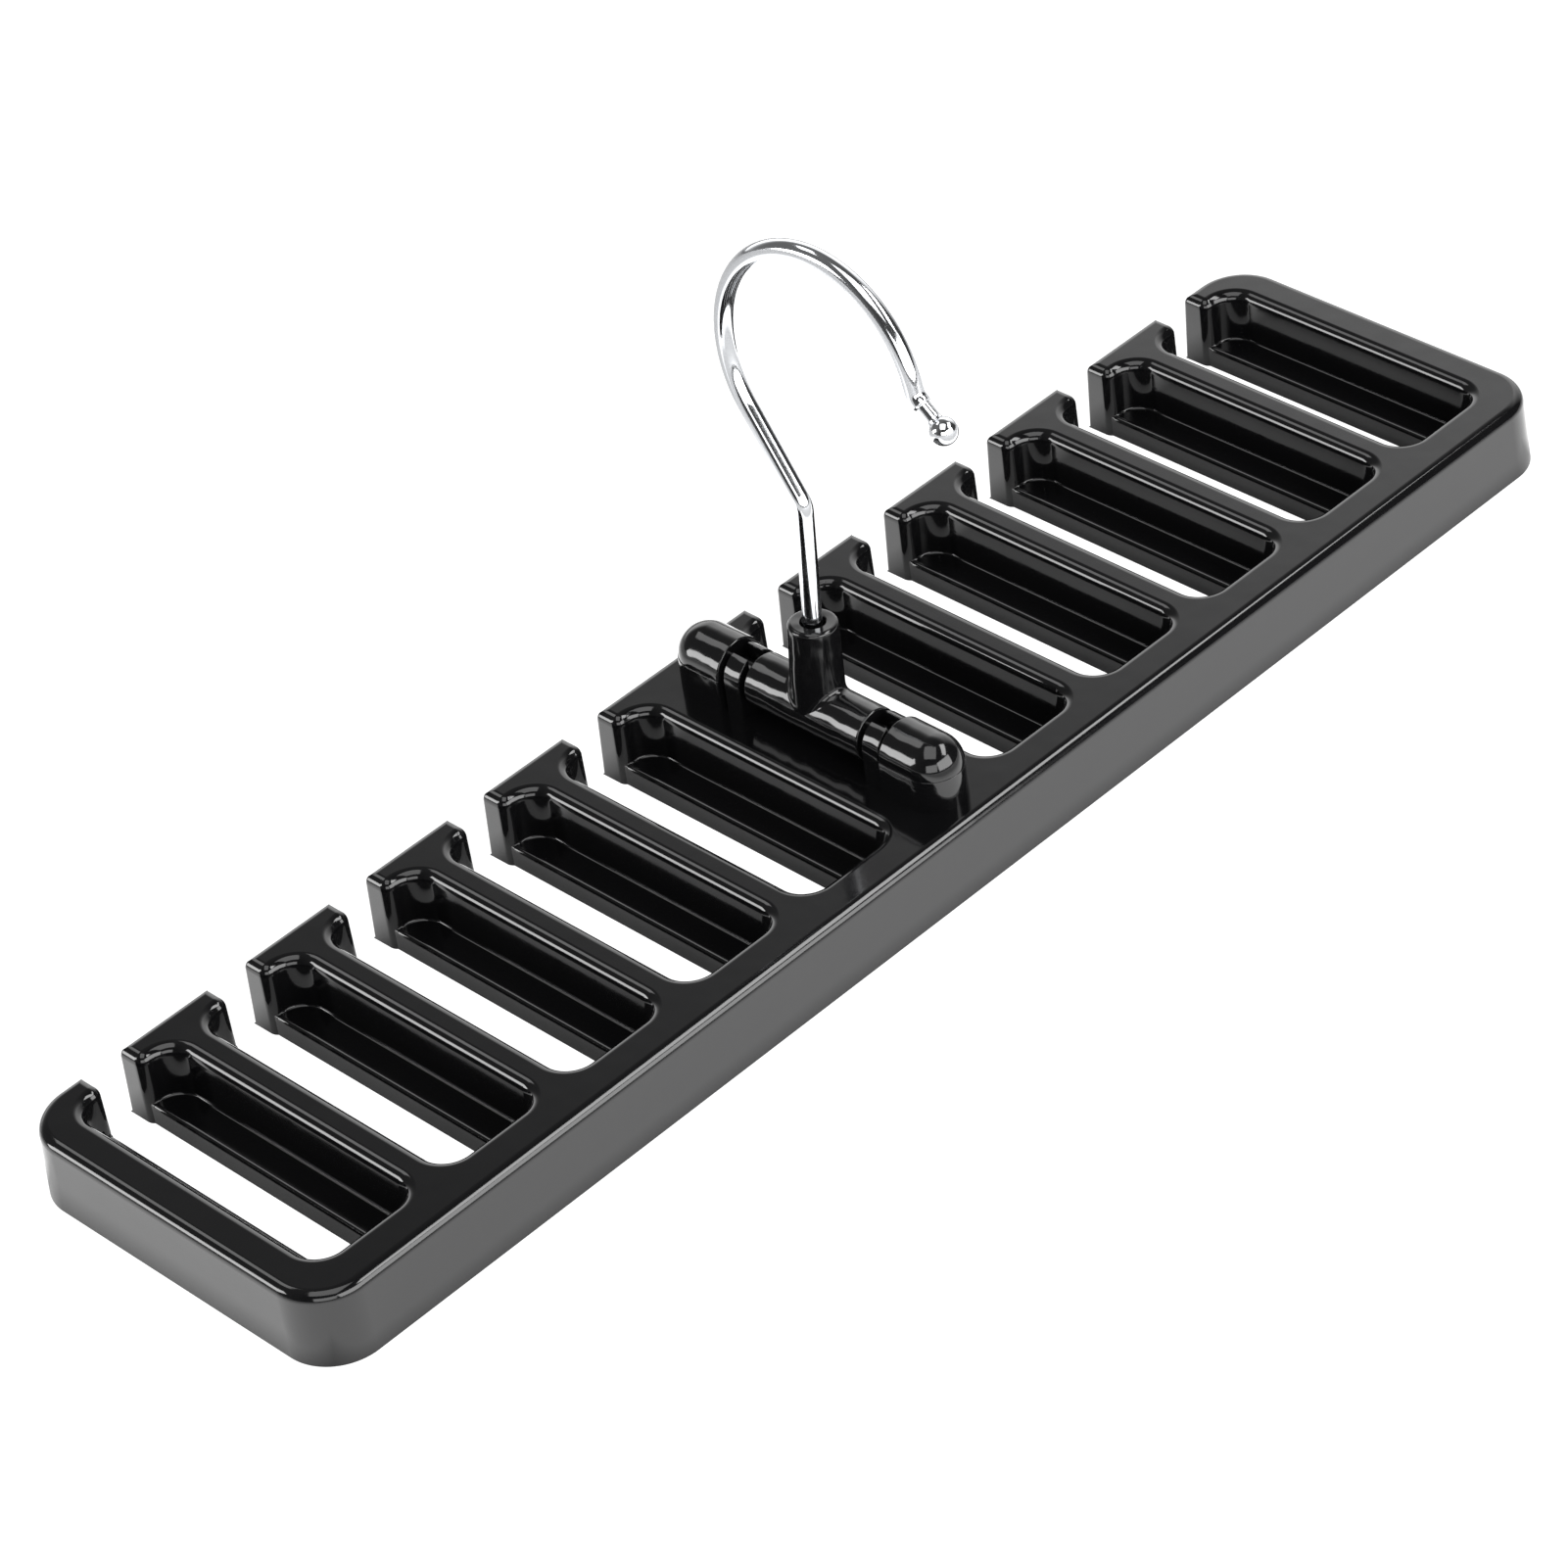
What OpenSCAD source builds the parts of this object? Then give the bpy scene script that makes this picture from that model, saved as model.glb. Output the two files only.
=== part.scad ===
// Tie hanger. A long rack, open along one side like a comb, has a slot for each
// tie. A tee clipped to its middle tilts along the rack, and a wire hook turns
// in the tee, so the rack can hang level from a rail or be folded flat to it.
// Millimetres, +Z up. The origin is the middle of the rack's underside.

/* [Rack] */
// Number of slots on each side of the middle block
slots_per_side = 5; // [2:1:7]
// Distance from one slot to the next
slot_pitch = 28; // [26:0.5:40]
// Width of a slot's mouth, between two heads
mouth_w = 8; // [5:0.5:9]
// Width of an arm along its top
web_w = 6.3; // [5:0.1:8]
// Width of an arm along its foot, below the ledges
flange_w = 19; // [15:0.5:20]
// Width of the middle block's head
middle_w = 38; // [36:1:60]
// Width of each end head
end_w = 15.4; // [12.5:0.1:30]
// Depth of the rack, from the spine's face to the heads' face
rack_d = 77; // [76:0.5:120]
// Height of the rack
rack_h = 14.6; // [12:0.1:24]
// Width of the spine along its top
spine_w = 9.6; // [8:0.1:20]
// Thickness of the heads, measured along the arms
head_t = 6.5; // [5:0.1:12]
// Drop from the rack's top to the ledges
ledge_drop = 10.2; // [6:0.1:12]

/* [Rack edges and walls] */
// Plan radius of the rack's four outer corners
corner_r = 10; // [5:0.5:12]
// Plan radius of the slots' corners
slot_r = 4.8; // [2.5:0.1:4.8]
// Round along the rack's top edges and down the heads' inner corners
edge_r = 2; // [1:0.1:2]
// Round along the ledges' edges
ledge_r = 0.6; // [0.2:0.1:1.5]
// Thickness of the moulded walls round the hollows underneath
wall = 2; // [1.2:0.1:2.3]
// Thickness of the ribs underneath
rib_t = 1.6; // [1:0.1:2.5]

/* [Hinge] */
// Height of the hinge's axis above the rack's top
axis_up = 6.3; // [5.8:0.1:10]
// Place of the hinge's middle, measured from the rack's middle towards the heads
hinge_y = -0.5; // [-1:0.1:1]
// Radius of the domed posts
post_r = 5.7; // [5.2:0.1:8]
// Length of a post from its flat inner face to the centre of its dome
post_l = 7.45; // [4:0.05:7.5]
// Step out from the dome to the post's upright walls
post_step = 0.12; // [0.05:0.01:0.5]
// Gap between a post and its clip
post_gap = 0.8; // [0.5:0.1:2]
// Outer radius of the clips
clip_r = 5; // [4:0.1:6]
// Width of a clip along the axis
clip_w = 3.8; // [2:0.1:5]
// Width of the clips' upper mouth, which the journals snap through
clip_mouth = 3.6; // [3:0.1:4]
// Radius of the tee's journals
journal_r = 2.2; // [2.1:0.1:3]
// Gap between a clip and the tee's barrel
barrel_gap = 1.2; // [0.5:0.1:2]
// Gap between a journal's end and the post
journal_gap = 0.3; // [0.2:0.1:0.5]
// Radial clearance of what turns in a bore
turn_gap = 0.05; // [0.02:0.01:0.1]

/* [Tee] */
// Lean of the tee along the rack, away from upright
lean = 4; // [0:0.5:20]
// Length of the tee's barrel
barrel_l = 27.4; // [20:0.1:28]
// Radius of the barrel
barrel_r = 5; // [4.6:0.1:5.5]
// Height of the socket's rim above the hinge's axis
socket_up = 17.8; // [14:0.1:30]
// Diameter of the socket at the barrel's axis
socket_foot_d = 9.9; // [8:0.1:9.9]
// Diameter of the socket at its rim
socket_rim_d = 9; // [7.5:0.1:9.9]
// Depth of the recess in the rim
recess_drop = 2.5; // [1.5:0.1:4]
// Radius of the recess
recess_r = 2.35; // [2.2:0.05:3]
// Radius of the pocket under the barrel
pocket_r = 3.6; // [3.4:0.1:4]
// Depth of that pocket, measured up from the barrel's lowest line
pocket_drop = 3; // [2.6:0.1:3.2]

/* [Hook] */
// Diameter of the wire
wire_d = 3.4; // [2.4:0.1:3.6]
// Height of the first bend's corner above the hinge's axis
bend_up = 41.6; // [30:0.1:45]
// Radius of the first bend, at the wire's centre line
bend_r = 5; // [3:0.5:12]
// Radius of the hook's arch, at the wire's centre line
arch_r = 22.5; // [18:0.5:26]
// Height of the arch's centre above the hinge's axis
arch_up = 70.1; // [65:0.1:80]
// Distance of the arch's centre from the stem, towards the open side
arch_out = 6.5; // [2:0.1:8]
// Angle above level at which the arch ends
arch_end = 16; // [5:1:40]
// Straight length between the arch and the outward bend before the tip
tip_lead = 1.4; // [0.3:0.1:5]
// Radius of the outward bend before the tip
tip_r = 3; // [2.5:0.5:8]
// Angle of that bend
tip_turn = 38; // [5:1:45]
// Straight length between that bend and the shoulder of the neck
shoulder_lead = 0.3; // [0.3:0.1:2]
// Diameter of the neck before the ball
neck_d = 2.6; // [2:0.1:3]
// Length of the neck, from the wire's shoulder to the ball's centre
neck_l = 6; // [3.5:0.1:8]
// Diameter of the ball at the tip
ball_d = 4.9; // [4:0.1:6]
// Radius of the wire's collar, which stands in the recess
collar_r = 2.2; // [1.9:0.05:2.2]
// Thickness of the collar
collar_t = 1; // [0.6:0.1:1.4]
// Radius of the wire's riveted head
rivet_r = 2.5; // [2.2:0.1:3]
// Thickness of the riveted head
rivet_t = 0.9; // [0.6:0.1:1.2]
// Outer radius of the washer under the tee
washer_r = 3.3; // [2.8:0.1:3.3]
// Thickness of the washer
washer_t = 0.6; // [0.4:0.1:0.8]

/* [Hidden] */
$fn = 96;

black_plastic = "#18181a";
tee_plastic = "#222225";
chrome = "#cfd2d6";
zinc = "#8d9196";

// How far a cut runs past the face that it opens
over = 1;
// How far the wire's straight lengths run on into its bends
bend_lap = 0.1;
// How much thicker the wire is in a bend, on its radius
bend_swell = 0.01;

// A slot is as wide above the ledges as two neighbouring arms leave it
slot_w = slot_pitch - web_w;
through_w = slot_pitch - flange_w;
slot_y0 = spine_w - rack_d / 2;
slot_y1 = rack_d / 2 - head_t;
slot_l = slot_y1 - slot_y0;
ledge_z = rack_h - ledge_drop;
first_slot = middle_w / 2 + mouth_w / 2;
slot_places = [for (side = [-1, 1], i = [0 : slots_per_side - 1])
    side * (first_slot + i * slot_pitch)];
rack_l = 2 * (first_slot + (slots_per_side - 1) * slot_pitch + mouth_w / 2 + end_w);

// Places along the hinge's axis, measured from its middle
clip_in = barrel_l / 2 + barrel_gap;
post_in = clip_in + clip_w + post_gap;
dome_at = post_in + post_l;
journal_end = post_in - journal_gap;

// Heights along the tee's own axis, measured from the hinge's axis
pocket_top = pocket_drop - barrel_r;
recess_floor = socket_up - recess_drop;
washer_top = pocket_top - turn_gap;
rivet_top = washer_top - washer_t - turn_gap;
wire_r = wire_d / 2;

// The wire's straight slant touches the arch, so its angle and length follow
arch_rise = arch_up - bend_up;
arch_reach = norm([arch_out, arch_rise]);
bend_turn = atan2(arch_rise, arch_out) + asin(arch_r / arch_reach) - 90;
bend_cut = bend_r * tan(bend_turn / 2);
slant_l = sqrt(pow(arch_reach, 2) - pow(arch_r, 2)) - bend_cut;
arch_turn = 180 + bend_turn - arch_end;

// Section of a bar of width w, with its upper corners rounded
module bar_section(w) {
    translate([-w / 2, 0]) square([w, rack_h - edge_r]);
    translate([edge_r - w / 2, 0]) square([w - 2 * edge_r, rack_h]);
    for (side = [-1, 1])
        translate([side * (w / 2 - edge_r), rack_h - edge_r]) circle(edge_r);
}

// Quarter turn at an outer corner, with the same section as the sides
module slab_corner() {
    rotate_extrude(angle = 90) {
        square([corner_r, rack_h - edge_r]);
        square([corner_r - edge_r, rack_h]);
        translate([corner_r - edge_r, rack_h - edge_r])
            intersection() {
                circle(edge_r);
                square(edge_r);
            }
    }
}

// The rack's whole outline before its slots are cut
module slab() {
    rotate([90, 0, 90])
        linear_extrude(rack_l - 2 * corner_r, center = true) bar_section(rack_d);
    rotate([90, 0, 0])
        linear_extrude(rack_d - 2 * corner_r, center = true) bar_section(rack_l);
    for (sx = [0, 1], sy = [0, 1])
        mirror([sx, 0, 0]) mirror([0, sy, 0])
            translate([rack_l / 2 - corner_r, rack_d / 2 - corner_r, 0]) slab_corner();
}

// Rounded rectangle from (x0, y0) to (x1, y1)
module rounded_plan(x0, y0, x1, y1, r) {
    translate([x0 + r, y0]) square([x1 - x0 - 2 * r, y1 - y0]);
    translate([x0, y0 + r]) square([x1 - x0, y1 - y0 - 2 * r]);
    for (x = [x0 + r, x1 - r], y = [y0 + r, y1 - r])
        translate([x, y]) circle(r);
}

// A slot seen from above, with its mouth between two round-cornered heads
module slot_plan() {
    rounded_plan(-slot_w / 2, slot_y0, slot_w / 2, slot_y1, slot_r);
    translate([-mouth_w / 2, slot_y1 - over]) square([mouth_w, head_t + 2 * over]);
    for (side = [0, 1])
        mirror([side, 0])
            difference() {
                translate([0, slot_y1 - over]) square([mouth_w / 2 + edge_r, edge_r + over]);
                translate([mouth_w / 2 + edge_r, slot_y1 + edge_r]) circle(edge_r);
            }
}

// What a round of radius r takes off an edge at x = 0 whose top is at y = 0
module edge_notch(r) {
    difference() {
        translate([0, -r]) square([r, r + over]);
        translate([r, -r]) circle(r);
    }
}

// The notch of radius r along a length l of Y, on the +X side of x = 0
module notch_along(r, l) {
    translate([0, l, 0]) rotate([90, 0, 0]) linear_extrude(l) edge_notch(r);
}

// The rounds along a slot's top edges, for the half of the slot at +X
module half_slot_rounds() {
    head_edge = slot_w / 2 - slot_r - mouth_w / 2 - edge_r;
    translate([slot_w / 2, slot_y0 + slot_r, rack_h])
        notch_along(edge_r, slot_l - 2 * slot_r);
    translate([0, slot_y0, rack_h])
        rotate(-90) notch_along(edge_r, slot_w / 2 - slot_r);
    translate([mouth_w / 2, slot_y1 + edge_r, rack_h])
        notch_along(edge_r, head_t - edge_r + over);
    translate([slot_w / 2 - slot_r, slot_y1, rack_h])
        rotate(90) notch_along(edge_r, head_edge);
    for (end = [[-90, slot_y0 + slot_r], [0, slot_y1 - slot_r]])
        translate([slot_w / 2 - slot_r, end[1], rack_h])
            rotate(end[0]) rotate_extrude(angle = 90) translate([slot_r, 0]) edge_notch(edge_r);
    translate([mouth_w / 2, slot_y1, rack_h - edge_r])
        difference() {
            cube([edge_r, edge_r, edge_r + over]);
            translate([edge_r, edge_r, 0]) sphere(edge_r);
        }
}

// All that one slot takes out of the slab
module slot_void() {
    translate([0, 0, ledge_z]) linear_extrude(ledge_drop + over) slot_plan();
    translate([0, 0, -over])
        linear_extrude(ledge_z + 2 * over)
            intersection() {
                slot_plan();
                square([through_w, 2 * rack_d], center = true);
            }
    for (side = [0, 1])
        mirror([side, 0, 0]) {
            half_slot_rounds();
            translate([through_w / 2, slot_y0, ledge_z])
                intersection() {
                    notch_along(ledge_r, slot_l);
                    translate([0, 0, -ledge_r]) cube([ledge_r, slot_l, ledge_r]);
                }
        }
}

// Ribs underneath: one across the spine at each slot, three across the middle block
module rib_plan() {
    for (x = slot_places)
        translate([x - rib_t / 2, -rack_d / 2]) square([rib_t, spine_w]);
    for (y = [-1, 0, 1] * (clip_in + clip_w / 2))
        translate([-middle_w / 2, hinge_y + y - rib_t / 2]) square([middle_w, rib_t]);
}

// The hollow underneath, one wall inside the rack's outline and one wall away
// from its slots, which are gap_w wide at this level
module hollow_plan(gap_w) {
    difference() {
        rounded_plan(wall - rack_l / 2, wall - rack_d / 2, rack_l / 2 - wall, rack_d / 2 - wall,
                     corner_r - wall);
        for (x = slot_places) {
            translate([x - gap_w / 2 - wall, slot_y0 - wall])
                square([gap_w + 2 * wall, slot_l + 2 * wall]);
            translate([x - mouth_w / 2 - wall, slot_y1])
                square([mouth_w + 2 * wall, head_t]);
        }
        rib_plan();
    }
}

// Everything below is placed from the middle of the hinge's axis
module at_hinge() {
    translate([0, hinge_y, rack_h + axis_up]) children();
}

// Bullet shape that lies along +Y from y0 to a half ball centred at y1
module bullet(r, y0, y1) {
    translate([0, y0, 0]) rotate([-90, 0, 0]) cylinder(r = r, h = y1 - y0);
    translate([0, y1, 0]) sphere(r);
}

// Upright column with a half-round outer end, from y0 to the round's centre y1
module column(r, y0, y1, h) {
    translate([-r, y0, -h]) cube([2 * r, y1 - y0, h]);
    translate([0, y1, -h]) cylinder(r = r, h = h);
}

// Domed post at the +Y end of the hinge
module post() {
    bullet(post_r, post_in, dome_at);
    column(post_r + post_step, post_in, dome_at, axis_up + wall / 2);
}

// The hollow up inside that post, open underneath
module post_hollow() {
    bullet(post_r - wall, post_in + wall, dome_at);
    column(post_r - wall, post_in + wall, dome_at, axis_up + wall + over);
}

// Clip at the +Y end, open upwards, so that the tee's journal snaps in
module clip() {
    difference() {
        translate([0, clip_in, 0]) {
            rotate([-90, 0, 0]) cylinder(r = clip_r, h = clip_w);
            translate([-clip_r, 0, -axis_up - wall / 2])
                cube([2 * clip_r, clip_w, axis_up + wall / 2]);
        }
        translate([0, clip_in - over, 0]) {
            rotate([-90, 0, 0]) cylinder(r = journal_r + turn_gap, h = clip_w + 2 * over);
            translate([-clip_mouth / 2, 0, 0]) cube([clip_mouth, clip_w + 2 * over, clip_r + over]);
        }
    }
}

// The rack with its spine, arms, heads, posts and clips, moulded in one
module rack() {
    color(black_plastic) {
        difference() {
            union() {
                slab();
                at_hinge() for (end = [0, 1]) mirror([0, end, 0]) post();
            }
            for (x = slot_places) translate([x, 0, 0]) slot_void();
            translate([0, 0, -over]) linear_extrude(ledge_z - wall + over) hollow_plan(through_w);
            translate([0, 0, -over]) linear_extrude(rack_h - wall + over) hollow_plan(slot_w);
            at_hinge() for (end = [0, 1]) mirror([0, end, 0]) post_hollow();
        }
        at_hinge() for (end = [0, 1]) mirror([0, end, 0]) clip();
    }
}

// The tee: a barrel along the hinge with a journal at each end, and a socket
module swivel_tee() {
    color(tee_plastic) at_hinge() rotate([0, lean, 0])
        difference() {
            union() {
                rotate([90, 0, 0]) cylinder(r = barrel_r, h = barrel_l, center = true);
                rotate([90, 0, 0]) cylinder(r = journal_r, h = 2 * journal_end, center = true);
                cylinder(d1 = socket_foot_d, d2 = socket_rim_d, h = socket_up);
            }
            translate([0, 0, -barrel_r - over]) {
                cylinder(r = wire_r + turn_gap, h = barrel_r + socket_up + 2 * over);
                cylinder(r = pocket_r, h = pocket_drop + over);
            }
            translate([0, 0, recess_floor]) cylinder(r = recess_r, h = recess_drop + over);
        }
}

// A straight length of wire, with what follows it at its end. It runs on a
// little into the bends, which are swollen by more than it strays from them.
module wire_run(l) {
    translate([0, 0, -bend_lap]) cylinder(r = wire_r, h = l + 2 * bend_lap);
    translate([0, 0, l]) children();
}

// The wire bent by angle a towards +X, with what follows it at its end
module wire_bend(r, a) {
    translate([r, 0, 0]) {
        rotate([90, 0, 0]) rotate(180 - a) rotate_extrude(angle = a)
            translate([r, 0]) circle(wire_r + bend_swell);
        rotate([0, a, 0]) translate([-r, 0, 0]) children();
    }
}

// The same bend towards -X
module wire_bend_back(r, a) {
    mirror([1, 0, 0]) wire_bend(r, a) mirror([1, 0, 0]) children();
}

// The drawn-down neck and the ball at the wire's tip
module ball_tip() {
    translate([0, 0, bend_lap]) {
        cylinder(d1 = wire_d, d2 = neck_d, h = wire_r - neck_d / 2);
        cylinder(d = neck_d, h = neck_l);
        translate([0, 0, neck_l]) sphere(d = ball_d);
    }
}

// The hook: one wire with a riveted foot, a collar, the stem, arch and ball tip
module hook_wire() {
    color(chrome) at_hinge() rotate([0, lean, 0]) rotate(-90) {
        translate([0, 0, rivet_top - rivet_t]) cylinder(r = rivet_r, h = rivet_t);
        translate([0, 0, recess_floor + turn_gap]) cylinder(r = collar_r, h = collar_t);
        translate([0, 0, rivet_top - bend_lap])
            wire_run(bend_up - bend_cut - rivet_top + bend_lap)
                wire_bend_back(bend_r, bend_turn)
                    wire_run(slant_l)
                        wire_bend(arch_r, arch_turn)
                            wire_run(tip_lead)
                                wire_bend_back(tip_r, tip_turn)
                                    wire_run(shoulder_lead)
                                        ball_tip();
    }
}

// The washer between the tee and the riveted foot
module retaining_washer() {
    color(zinc) at_hinge() rotate([0, lean, 0])
        translate([0, 0, washer_top - washer_t])
            difference() {
                cylinder(r = washer_r, h = washer_t);
                translate([0, 0, -over])
                    cylinder(r = wire_r + turn_gap, h = washer_t + 2 * over);
            }
}

rack();
swivel_tee();
hook_wire();
retaining_washer();
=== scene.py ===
"""Tie hanger: a glossy black comb rack with a tilting tee and a chromed wire hook."""

import math

import bpy
import numpy as np
from mathutils import Matrix, Quaternion, Vector
from mathutils.geometry import delaunay_2d_cdt


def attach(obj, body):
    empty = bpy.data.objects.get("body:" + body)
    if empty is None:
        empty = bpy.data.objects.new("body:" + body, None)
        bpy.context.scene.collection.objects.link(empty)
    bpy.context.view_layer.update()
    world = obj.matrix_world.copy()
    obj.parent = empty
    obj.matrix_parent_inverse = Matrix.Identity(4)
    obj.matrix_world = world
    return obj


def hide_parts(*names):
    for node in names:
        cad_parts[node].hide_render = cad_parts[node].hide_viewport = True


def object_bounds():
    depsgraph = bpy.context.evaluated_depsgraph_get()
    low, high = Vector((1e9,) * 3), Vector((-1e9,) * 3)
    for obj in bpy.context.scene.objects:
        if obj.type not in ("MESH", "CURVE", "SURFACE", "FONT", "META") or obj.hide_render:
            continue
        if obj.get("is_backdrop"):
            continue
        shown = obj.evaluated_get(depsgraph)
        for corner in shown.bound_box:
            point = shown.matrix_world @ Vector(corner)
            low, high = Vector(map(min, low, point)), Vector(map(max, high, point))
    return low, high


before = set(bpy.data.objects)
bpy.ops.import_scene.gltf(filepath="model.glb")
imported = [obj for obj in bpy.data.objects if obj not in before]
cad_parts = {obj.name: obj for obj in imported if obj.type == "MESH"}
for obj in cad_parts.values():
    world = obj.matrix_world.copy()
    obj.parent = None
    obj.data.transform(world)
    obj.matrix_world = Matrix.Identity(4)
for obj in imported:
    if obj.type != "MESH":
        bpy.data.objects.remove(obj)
cad_box = [list(corner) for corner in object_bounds()]

MM = 0.001
UP = np.array([0.0, 0.0, 1.0])
QUARTER = math.pi / 2

# The sizes below are millimetres.
# Rack: depth, height, and the width of the heads at its two ends
RACK_D, RACK_H, END_W = 77.0, 14.6, 15.4
# Widths of a slot's mouth, of the slot and of the gap between its ledges
MOUTH, SLOT_W, THROUGH_W = 8.0, 21.7, 9.0
# A slot's closed end and its shoulders in Y, and the ledges' height
SLOT_Y0, SLOT_Y1, LEDGE_Z = -28.9, 32.0, 4.4
FIRST_SLOT, SLOT_PITCH, SLOTS_EACH_SIDE = 23.0, 28.0, 5
SLOT_X = [side * (FIRST_SLOT + SLOT_PITCH * i) for side in (-1, 1) for i in range(SLOTS_EACH_SIDE)]
RACK_L = 2 * (max(SLOT_X) + MOUTH / 2 + END_W)
# Rounds of the top edges, the slots' corners and the rack's corners, and the wall's thickness
EDGE_R, SLOT_R, CORNER_R, WALL = 2.0, 4.8, 10.0, 2.0
# Small rounds of the ledges' edges, the ledges' feet and the mouths' corners
LIP_R, COVE_R, MOUTH_CORNER_R = 0.9, 0.4, 0.7
# The mould's draft, as millimetres out per millimetre down
DRAFT_ENDS, DRAFT_SIDES, DRAFT_SLOTS = 0.030, 0.052, 0.026

# The hinge's axis runs along Y through this point
HINGE = np.array([0.0, -0.5, 20.9])
# Clips: inner face and width along Y, outer radius, opening at the top and bore
CLIP_IN, CLIP_W, CLIP_R, CLIP_MOUTH, BORE_R = 14.9, 3.8, 5.0, 3.6, 2.25
# Posts: inner face and the dome's centre along Y, radius, and the step below the dome
POST_IN, DOME_AT, POST_R, POST_STEP = 19.5, 26.95, 5.7, 0.12
# Posts and clips start a little inside the rack's top; this is their foot from the hinge
FOOT_Z = RACK_H - 0.4 - HINGE[2]

# Tee: lean along the rack, barrel's length and radius, journals' radius and reach
LEAN = math.radians(4)
BARREL_L, BARREL_R, JOURNAL_R, JOURNAL_END = 27.4, 5.0, 2.2, 19.2
# Socket: rim's height above the hinge, radius at the foot and at the rim
SOCKET_UP, SOCKET_FOOT_R, SOCKET_RIM_R = 17.8, 4.95, 4.5
# The recess in the rim, and the washer's pocket in the barrel with its top and low edge
RECESS_R, RECESS_DROP = 2.35, 2.5
POCKET_R, POCKET_TOP, POCKET_LOW = 3.6, -2.0, -3.3

# The hook's wire, its neck and its ball, the washer, and the play of parts that turn
WIRE_R, NECK_R, BALL_R = 1.7, 1.3, 2.45
WASHER_T, PLAY = 0.6, 0.05


# ---------- mesh building ----------

def unit(v):
    """Each vector divided by its own length."""
    return v / np.maximum(np.linalg.norm(v, axis=-1, keepdims=True), 1e-12)


class Surface:
    """Collects surfaces in millimetres with their own normals, and joins them into one mesh.

    Each corner of each face keeps the normal of the surface that it came from, so an
    edge between two surfaces stays crisp while the points along it are shared."""

    def __init__(self):
        self.points, self.normals, self.quads, self.polygons, self.total = [], [], [], [], 0

    def _add(self, points, normals):
        """Stores points with their normals and gives the first one's number."""
        start = self.total
        self.points.append(points.reshape(-1, 3))
        self.normals.append(unit(normals.reshape(-1, 3)))
        self.total += len(self.points[-1])
        return start

    def grid(self, points, normals, around=False):
        """A grid of points, rows by columns, joined by four-sided faces that face its normals.

        around joins the last column to the first."""
        rows, cols = points.shape[:2]
        start = self._add(points, normals)
        ids = np.arange(rows * cols).reshape(rows, cols)
        if around:
            ids = np.concatenate([ids, ids[:, :1]], axis=1)
        quads = np.stack([ids[:-1, :-1], ids[:-1, 1:], ids[1:, 1:], ids[1:, :-1]], -1).reshape(-1, 4)
        p, n = self.points[-1], self.normals[-1]
        cross = np.cross(p[quads[:, 2]] - p[quads[:, 0]], p[quads[:, 3]] - p[quads[:, 1]])
        if (cross * n[quads].sum(1)).sum() < 0:
            quads = quads[:, ::-1]
        self.quads.append(start + quads)

    def polygon(self, points, normal):
        """One flat face with the given normal."""
        loop = points - points.mean(0)
        area = np.cross(loop, np.roll(loop, -1, 0)).sum(0)
        if area @ normal < 0:
            points = points[::-1]
        start = self._add(points, np.broadcast_to(normal, points.shape))
        self.polygons.append(np.arange(start, start + len(points)))

    def flat_top(self, rim):
        """A level face inside a rim of any outline, facing up, cut into triangles."""
        flat = [tuple(p) for p in rim[:, :2]]
        keep_inside, same_point = 1, 1e-4
        made = delaunay_2d_cdt(flat, [], [list(range(len(flat)))], keep_inside, same_point)
        corners = np.array([tuple(v) for v in made[0]])[np.array(made[2])]
        self.triangles(np.concatenate([corners, np.full(corners.shape[:2] + (1,), rim[0, 2])], -1))

    def triangles(self, corners):
        """Flat loose triangles, kept as four-sided faces whose last corner comes twice."""
        normal = np.cross(corners[:, 1] - corners[:, 0], corners[:, 2] - corners[:, 0])
        start = self._add(corners, np.repeat(normal[:, None], 3, 1))
        self.quads.append((start + np.arange(len(corners) * 3)).reshape(-1, 3)[:, [0, 1, 2, 2]])

    def make(self, name, material):
        """The finished mesh object: shared points merged, folded faces dropped, normals kept."""
        points, normals = np.concatenate(self.points), np.concatenate(self.normals)
        _, first, same = np.unique(np.round(points, 4), axis=0, return_index=True, return_inverse=True)
        same = same.reshape(-1)
        quads = np.concatenate(self.quads)
        merged = same[quads]
        twin = merged == np.roll(merged, -1, 1)
        crossed = (merged[:, 0] == merged[:, 2]) | (merged[:, 1] == merged[:, 3])
        four = (twin.sum(1) == 0) & ~crossed
        three = twin.sum(1) == 1
        tris = quads[three][~twin[three]].reshape(-1, 3)
        t = same[tris]
        tris = tris[(t[:, 0] != t[:, 1]) & (t[:, 1] != t[:, 2]) & (t[:, 0] != t[:, 2])]
        many = [g[same[g] != np.roll(same[g], 1)] for g in self.polygons]
        faces = same[tris].tolist() + same[quads[four]].tolist() + [same[g].tolist() for g in many]
        mesh = bpy.data.meshes.new(name)
        mesh.from_pydata((points[first] * MM).tolist(), [], faces)
        mesh.polygons.foreach_set("use_smooth", np.ones(len(mesh.polygons), bool))
        corner = np.concatenate([tris.reshape(-1), quads[four].reshape(-1)] + many)
        mesh.normals_split_custom_set(normals[corner].tolist())
        mesh.update()
        mesh.materials.append(material)
        obj = bpy.data.objects.new(name, mesh)
        bpy.context.scene.collection.objects.link(obj)
        return obj


def chain(*parts):
    """Profile pieces (radius, height, tilt) in one list. tilt is the angle above level of
    the profile's normal."""
    return tuple(np.concatenate([np.atleast_1d(np.asarray(p[i], float)) for p in parts])
                 for i in range(3))


def edge_round(radius, height, r):
    """A profile's quarter round of radius r, from the flat end at height down to the side."""
    a = np.linspace(QUARTER, 0, 6)
    return radius - r + r * np.cos(a), height - r + r * np.sin(a), a


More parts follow.
